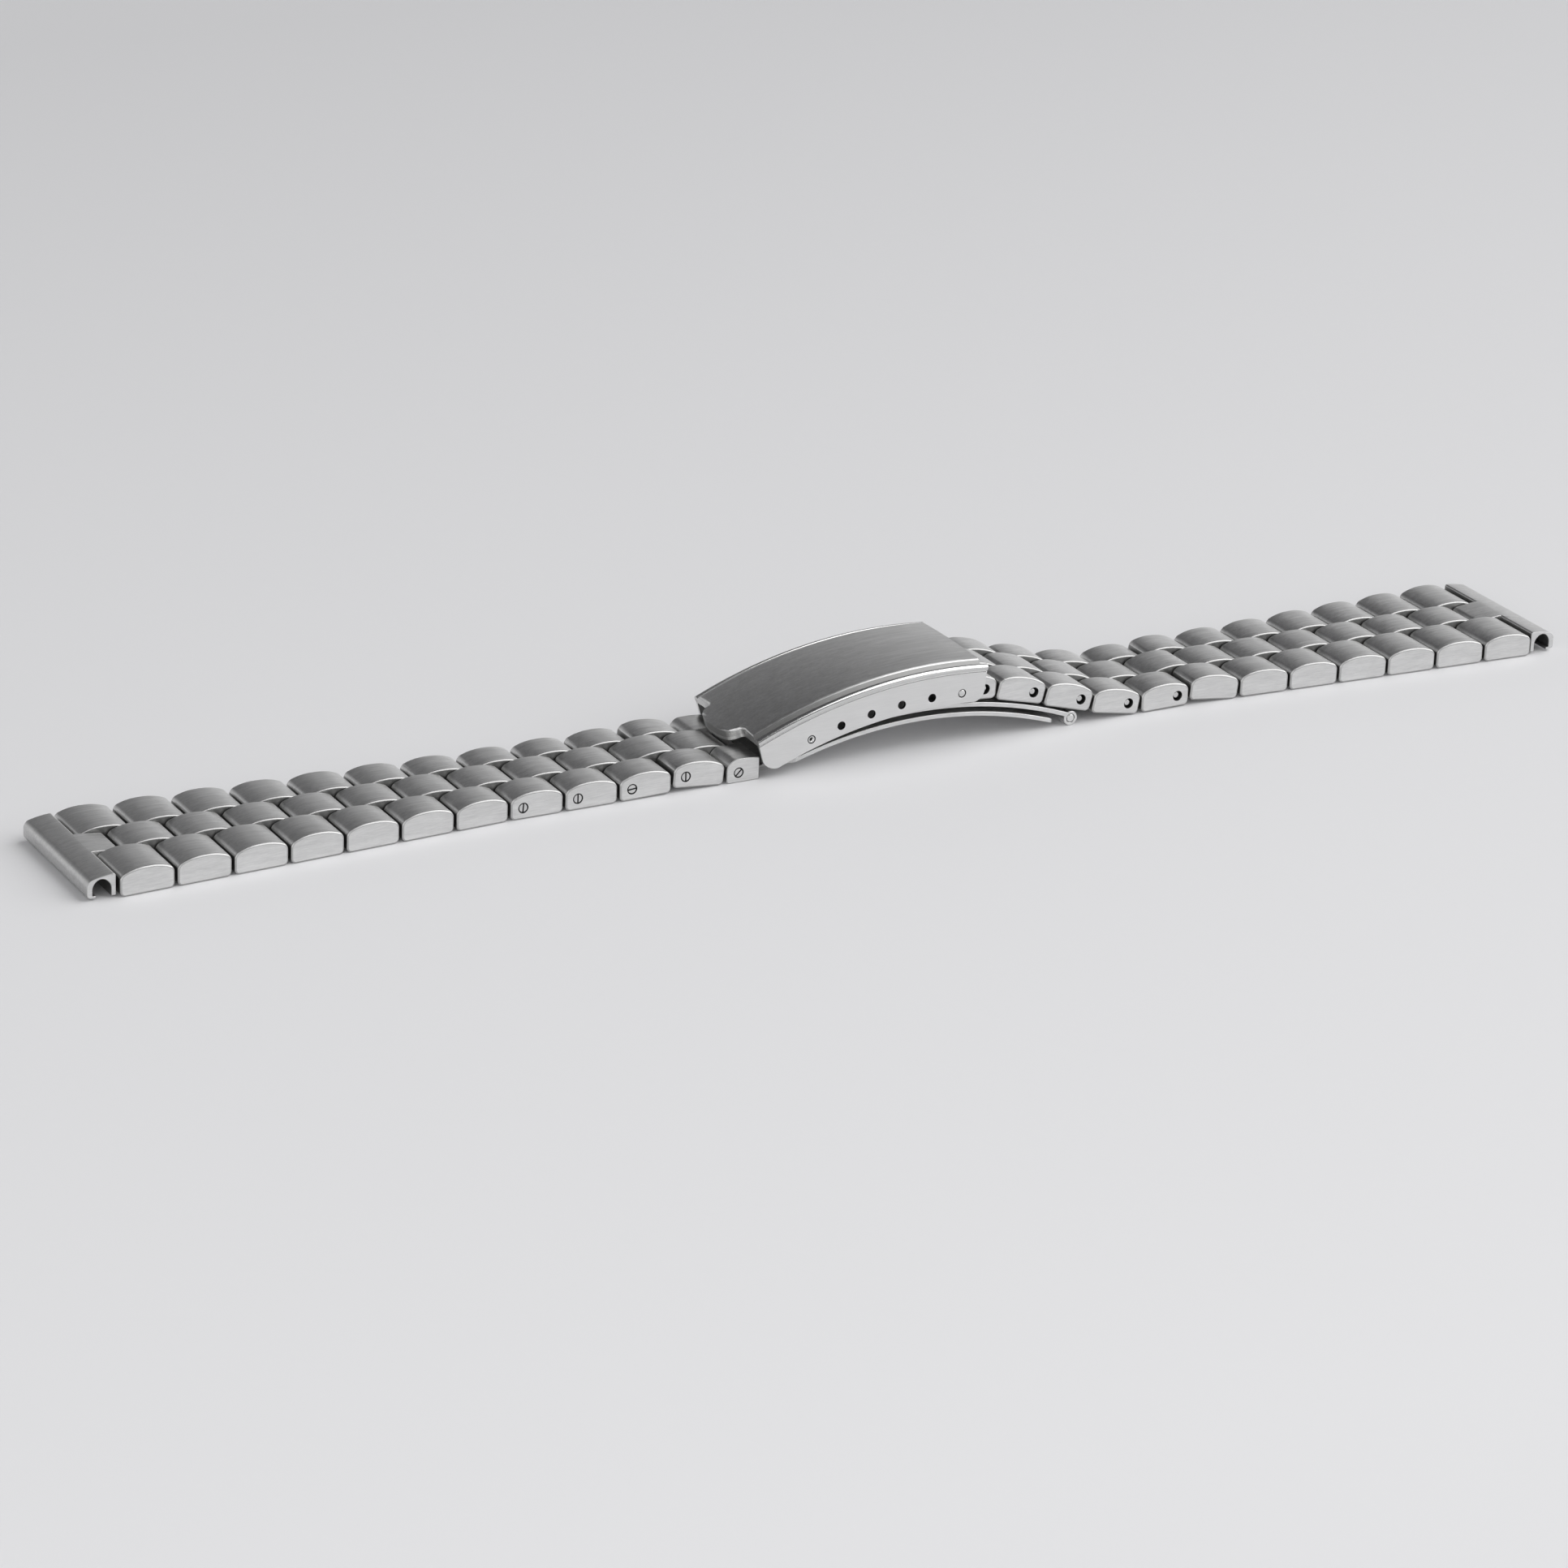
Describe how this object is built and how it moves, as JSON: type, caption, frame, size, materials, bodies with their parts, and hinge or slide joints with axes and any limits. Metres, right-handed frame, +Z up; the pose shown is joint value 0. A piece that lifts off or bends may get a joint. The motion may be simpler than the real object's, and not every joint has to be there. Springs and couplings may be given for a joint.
{
  "type": "link watch bracelet",
  "caption": "Three-row solid link watch band in brushed steel, straight ends, folding clasp with spring bar adjustment holes, lying closed.",
  "frame": {"origin": "under the middle of the whole band, on the surface that it lies on", "axes": "+X along the band from the lug end of the clasp towards the half with the spring bar, +Y across the band away from the near side, +Z up, away from the wrist"},
  "size_m": [0.1774, 0.018, 0.0099],
  "materials": {
    "brushed_steel": "satin, brushed along the band, with polished edges",
    "polished_steel": "polished"
  },
  "bodies": {
    "clasp_base": {"lower_blade": "brushed_steel", "clasp_lug": "brushed_steel", "lug_screw": "polished_steel", "fold_hinge_pin": "polished_steel"},
    "upper_blade": {"upper_blade": "brushed_steel"},
    "cover": {"cover": "brushed_steel", "cover_hinge_pin": "polished_steel", "spring_bar_tube": "polished_steel", "spring_bar_tips": "polished_steel"},
    "short_link": {"short_link": "brushed_steel"},
    "right_centre_11": {"right_centre_11": "brushed_steel"},
    "right_link_11": {"right_link_11": "brushed_steel"},
    "right_centre_10": {"right_centre_10": "brushed_steel"},
    "right_link_10": {"right_link_10": "brushed_steel"},
    "right_centre_9": {"right_centre_9": "brushed_steel"},
    "right_link_9": {"right_link_9": "brushed_steel"},
    "right_centre_8": {"right_centre_8": "brushed_steel"},
    "right_link_8": {"right_link_8": "brushed_steel"},
    "right_centre_7": {"right_centre_7": "brushed_steel"},
    "right_link_7": {"right_link_7": "brushed_steel"},
    "right_centre_6": {"right_centre_6": "brushed_steel"},
    "right_link_6": {"right_link_6": "brushed_steel"},
    "right_centre_5": {"right_centre_5": "brushed_steel"},
    "right_link_5": {"right_link_5": "brushed_steel"},
    "right_centre_4": {"right_centre_4": "brushed_steel"},
    "right_link_4": {"right_link_4": "brushed_steel"},
    "right_centre_3": {"right_centre_3": "brushed_steel"},
    "right_link_3": {"right_link_3": "brushed_steel"},
    "right_centre_2": {"right_centre_2": "brushed_steel"},
    "right_link_2": {"right_link_2": "brushed_steel"},
    "right_centre_1": {"right_centre_1": "brushed_steel"},
    "right_link_1": {"right_link_1": "brushed_steel"},
    "end_piece_right": {"end_piece_right": "brushed_steel"},
    "left_centre_11": {"left_centre_11": "brushed_steel"},
    "left_link_11": {"left_link_11": "brushed_steel"},
    "left_centre_10": {"left_centre_10": "brushed_steel"},
    "left_link_10": {"left_link_10": "brushed_steel"},
    "left_centre_9": {"left_centre_9": "brushed_steel"},
    "left_link_9": {"left_link_9": "brushed_steel"},
    "left_centre_8": {"left_centre_8": "brushed_steel"},
    "left_link_8": {"left_link_8": "brushed_steel"},
    "left_centre_7": {"left_centre_7": "brushed_steel"},
    "left_link_7": {"left_link_7": "brushed_steel"},
    "left_centre_6": {"left_centre_6": "brushed_steel"},
    "left_link_6": {"left_link_6": "brushed_steel"},
    "left_centre_5": {"left_centre_5": "brushed_steel"},
    "left_link_5": {"left_link_5": "brushed_steel"},
    "left_centre_4": {"left_centre_4": "brushed_steel"},
    "left_link_4": {"left_link_4": "brushed_steel"},
    "left_centre_3": {"left_centre_3": "brushed_steel"},
    "left_link_3": {"left_link_3": "brushed_steel"},
    "left_centre_2": {"left_centre_2": "brushed_steel"},
    "left_link_2": {"left_link_2": "brushed_steel"},
    "left_centre_1": {"left_centre_1": "brushed_steel"},
    "left_link_1": {"left_link_1": "brushed_steel"},
    "end_piece_left": {"end_piece_left": "brushed_steel"}
  },
  "joints": [
    {"name": "fold_hinge", "type": "hinge", "parent": "clasp_base", "child": "upper_blade", "pos_m": [0.02621, 0, 0.00082], "axis": [0, 1, 0], "range_deg": [0, 160]},
    {"name": "cover_hinge", "type": "hinge", "parent": "upper_blade", "child": "cover", "pos_m": [-0.00624, 0, 0.00372], "axis": [0, 1, 0], "range_deg": [-160, 0]},
    {"name": "short_link_hinge", "type": "hinge", "parent": "cover", "child": "short_link", "pos_m": [0.012, 0, 0.00611], "axis": [0, 1, 0], "range_deg": [-9, 0.4]},
    {"name": "right_centre_11_hinge", "type": "hinge", "parent": "short_link", "child": "right_centre_11", "pos_m": [0.01515, 0, 0.00591], "axis": [0, 1, 0], "range_deg": [-14.5, 0.7]},
    {"name": "right_link_11_hinge", "type": "hinge", "parent": "right_centre_11", "child": "right_link_11", "pos_m": [0.01825, 0, 0.00535], "axis": [0, 1, 0], "range_deg": [-11.41, 0.9]},
    {"name": "right_centre_10_hinge", "type": "hinge", "parent": "right_link_11", "child": "right_centre_10", "pos_m": [0.02131, 0, 0.0046], "axis": [0, 1, 0], "range_deg": [-11.41, 1.4]},
    {"name": "right_link_10_hinge", "type": "hinge", "parent": "right_centre_10", "child": "right_link_10", "pos_m": [0.02432, 0, 0.00368], "axis": [0, 1, 0], "range_deg": [-6.06, 3.4]},
    {"name": "right_centre_9_hinge", "type": "hinge", "parent": "right_link_10", "child": "right_centre_9", "pos_m": [0.02736, 0, 0.00285], "axis": [0, 1, 0], "range_deg": [-8.46, 12.54]},
    {"name": "right_link_9_hinge", "type": "hinge", "parent": "right_centre_9", "child": "right_link_9", "pos_m": [0.03039, 0, 0.002], "axis": [0, 1, 0], "range_deg": [-2.56, 18.43]},
    {"name": "right_centre_8_hinge", "type": "hinge", "parent": "right_link_9", "child": "right_centre_8", "pos_m": [0.03349, 0, 0.00144], "axis": [0, 1, 0], "range_deg": [-0.4, 20.6]},
    {"name": "right_link_8_hinge", "type": "hinge", "parent": "right_centre_8", "child": "right_link_8", "pos_m": [0.03664, 0, 0.0013], "axis": [0, 1, 0], "range_deg": [-4.56, 16.44]},
    {"name": "right_centre_7_hinge", "type": "hinge", "parent": "right_link_8", "child": "right_centre_7", "pos_m": [0.03979, 0, 0.00135], "axis": [0, 1, 0], "range_deg": [-3.14, 17.86]},
    {"name": "right_link_7_hinge", "type": "hinge", "parent": "right_centre_7", "child": "right_link_7", "pos_m": [0.04292, 0, 0.00166], "axis": [0, 1, 0], "range_deg": [-19.41, 1.59]},
    {"name": "right_centre_6_hinge", "type": "hinge", "parent": "right_link_7", "child": "right_centre_6", "pos_m": [0.04605, 0, 0.00135], "axis": [0, 1, 0], "range_deg": [-3.27, 17.73]},
    {"name": "right_link_6_hinge", "type": "hinge", "parent": "right_centre_6", "child": "right_link_6", "pos_m": [0.0492, 0, 0.00129], "axis": [0, 1, 0], "range_deg": [-7.56, 13.44]},
    {"name": "right_centre_5_hinge", "type": "hinge", "parent": "right_link_6", "child": "right_centre_5", "pos_m": [0.05235, 0, 0.00126], "axis": [0, 1, 0], "range_deg": [-7.67, 13.34]},
    {"name": "right_link_5_hinge", "type": "hinge", "parent": "right_centre_5", "child": "right_link_5", "pos_m": [0.0555, 0, 0.00125], "axis": [0, 1, 0], "range_deg": [-7.86, 13.14]},
    {"name": "right_centre_4_hinge", "type": "hinge", "parent": "right_link_5", "child": "right_centre_4", "pos_m": [0.05865, 0, 0.00125], "axis": [0, 1, 0], "range_deg": [-7.96, 13.04]},
    {"name": "right_link_4_hinge", "type": "hinge", "parent": "right_centre_4", "child": "right_link_4", "pos_m": [0.0618, 0, 0.00125], "axis": [0, 1, 0], "range_deg": [-7.98, 13.02]},
    {"name": "right_centre_3_hinge", "type": "hinge", "parent": "right_link_4", "child": "right_centre_3", "pos_m": [0.06495, 0, 0.00125], "axis": [0, 1, 0], "range_deg": [-8, 13]},
    {"name": "right_link_3_hinge", "type": "hinge", "parent": "right_centre_3", "child": "right_link_3", "pos_m": [0.0681, 0, 0.00125], "axis": [0, 1, 0], "range_deg": [-8, 13]},
    {"name": "right_centre_2_hinge", "type": "hinge", "parent": "right_link_3", "child": "right_centre_2", "pos_m": [0.07125, 0, 0.00125], "axis": [0, 1, 0], "range_deg": [-8, 13]},
    {"name": "right_link_2_hinge", "type": "hinge", "parent": "right_centre_2", "child": "right_link_2", "pos_m": [0.0744, 0, 0.00125], "axis": [0, 1, 0], "range_deg": [-8, 13]},
    {"name": "right_centre_1_hinge", "type": "hinge", "parent": "right_link_2", "child": "right_centre_1", "pos_m": [0.07755, 0, 0.00125], "axis": [0, 1, 0], "range_deg": [-8, 13]},
    {"name": "right_link_1_hinge", "type": "hinge", "parent": "right_centre_1", "child": "right_link_1", "pos_m": [0.0807, 0, 0.00125], "axis": [0, 1, 0], "range_deg": [-8, 13]},
    {"name": "end_piece_right_hinge", "type": "hinge", "parent": "right_link_1", "child": "end_piece_right", "pos_m": [0.08385, 0, 0.00125], "axis": [0, 1, 0], "range_deg": [-8, 13]},
    {"name": "left_centre_11_hinge", "type": "hinge", "parent": "clasp_base", "child": "left_centre_11", "pos_m": [-0.01459, 0, 0.0011], "axis": [0, -1, 0], "range_deg": [-3.08, 17.92]},
    {"name": "left_link_11_hinge", "type": "hinge", "parent": "left_centre_11", "child": "left_link_11", "pos_m": [-0.01773, 0, 0.00137], "axis": [0, -1, 0], "range_deg": [-7.82, 13.18]},
    {"name": "left_centre_10_hinge", "type": "hinge", "parent": "left_link_11", "child": "left_centre_10", "pos_m": [-0.02087, 0, 0.00165], "axis": [0, -1, 0], "range_deg": [-18.66, 2.34]},
    {"name": "left_link_10_hinge", "type": "hinge", "parent": "left_centre_10", "child": "left_link_10", "pos_m": [-0.024, 0, 0.00135], "axis": [0, -1, 0], "range_deg": [-3.63, 17.37]},
    {"name": "left_centre_9_hinge", "type": "hinge", "parent": "left_link_10", "child": "left_centre_9", "pos_m": [-0.02715, 0, 0.00128], "axis": [0, -1, 0], "range_deg": [-7.18, 13.82]},
    {"name": "left_link_9_hinge", "type": "hinge", "parent": "left_centre_9", "child": "left_link_9", "pos_m": [-0.0303, 0, 0.00126], "axis": [0, -1, 0], "range_deg": [-7.77, 13.23]},
    {"name": "left_centre_8_hinge", "type": "hinge", "parent": "left_link_9", "child": "left_centre_8", "pos_m": [-0.03345, 0, 0.00125], "axis": [0, -1, 0], "range_deg": [-7.9, 13.1]},
    {"name": "left_link_8_hinge", "type": "hinge", "parent": "left_centre_8", "child": "left_link_8", "pos_m": [-0.0366, 0, 0.00125], "axis": [0, -1, 0], "range_deg": [-7.98, 13.02]},
    {"name": "left_centre_7_hinge", "type": "hinge", "parent": "left_link_8", "child": "left_centre_7", "pos_m": [-0.03975, 0, 0.00125], "axis": [0, -1, 0], "range_deg": [-7.99, 13.01]},
    {"name": "left_link_7_hinge", "type": "hinge", "parent": "left_centre_7", "child": "left_link_7", "pos_m": [-0.0429, 0, 0.00125], "axis": [0, -1, 0], "range_deg": [-8, 13]},
    {"name": "left_centre_6_hinge", "type": "hinge", "parent": "left_link_7", "child": "left_centre_6", "pos_m": [-0.04605, 0, 0.00125], "axis": [0, -1, 0], "range_deg": [-8, 13]},
    {"name": "left_link_6_hinge", "type": "hinge", "parent": "left_centre_6", "child": "left_link_6", "pos_m": [-0.0492, 0, 0.00125], "axis": [0, -1, 0], "range_deg": [-8, 13]},
    {"name": "left_centre_5_hinge", "type": "hinge", "parent": "left_link_6", "child": "left_centre_5", "pos_m": [-0.05235, 0, 0.00125], "axis": [0, -1, 0], "range_deg": [-8, 13]},
    {"name": "left_link_5_hinge", "type": "hinge", "parent": "left_centre_5", "child": "left_link_5", "pos_m": [-0.0555, 0, 0.00125], "axis": [0, -1, 0], "range_deg": [-8, 13]},
    {"name": "left_centre_4_hinge", "type": "hinge", "parent": "left_link_5", "child": "left_centre_4", "pos_m": [-0.05865, 0, 0.00125], "axis": [0, -1, 0], "range_deg": [-8, 13]},
    {"name": "left_link_4_hinge", "type": "hinge", "parent": "left_centre_4", "child": "left_link_4", "pos_m": [-0.0618, 0, 0.00125], "axis": [0, -1, 0], "range_deg": [-8, 13]},
    {"name": "left_centre_3_hinge", "type": "hinge", "parent": "left_link_4", "child": "left_centre_3", "pos_m": [-0.06495, 0, 0.00125], "axis": [0, -1, 0], "range_deg": [-8, 13]},
    {"name": "left_link_3_hinge", "type": "hinge", "parent": "left_centre_3", "child": "left_link_3", "pos_m": [-0.0681, 0, 0.00125], "axis": [0, -1, 0], "range_deg": [-8, 13]},
    {"name": "left_centre_2_hinge", "type": "hinge", "parent": "left_link_3", "child": "left_centre_2", "pos_m": [-0.07125, 0, 0.00125], "axis": [0, -1, 0], "range_deg": [-8, 13]},
    {"name": "left_link_2_hinge", "type": "hinge", "parent": "left_centre_2", "child": "left_link_2", "pos_m": [-0.0744, 0, 0.00125], "axis": [0, -1, 0], "range_deg": [-8, 13]},
    {"name": "left_centre_1_hinge", "type": "hinge", "parent": "left_link_2", "child": "left_centre_1", "pos_m": [-0.07755, 0, 0.00125], "axis": [0, -1, 0], "range_deg": [-8, 13]},
    {"name": "left_link_1_hinge", "type": "hinge", "parent": "left_centre_1", "child": "left_link_1", "pos_m": [-0.0807, 0, 0.00125], "axis": [0, -1, 0], "range_deg": [-8, 13]},
    {"name": "end_piece_left_hinge", "type": "hinge", "parent": "left_link_1", "child": "end_piece_left", "pos_m": [-0.08385, 0, 0.00125], "axis": [0, -1, 0], "range_deg": [-8, 13]}
  ],
  "couplings": [
    {"joint": "cover_hinge", "follows": "fold_hinge", "ratio": -1}
  ]
}
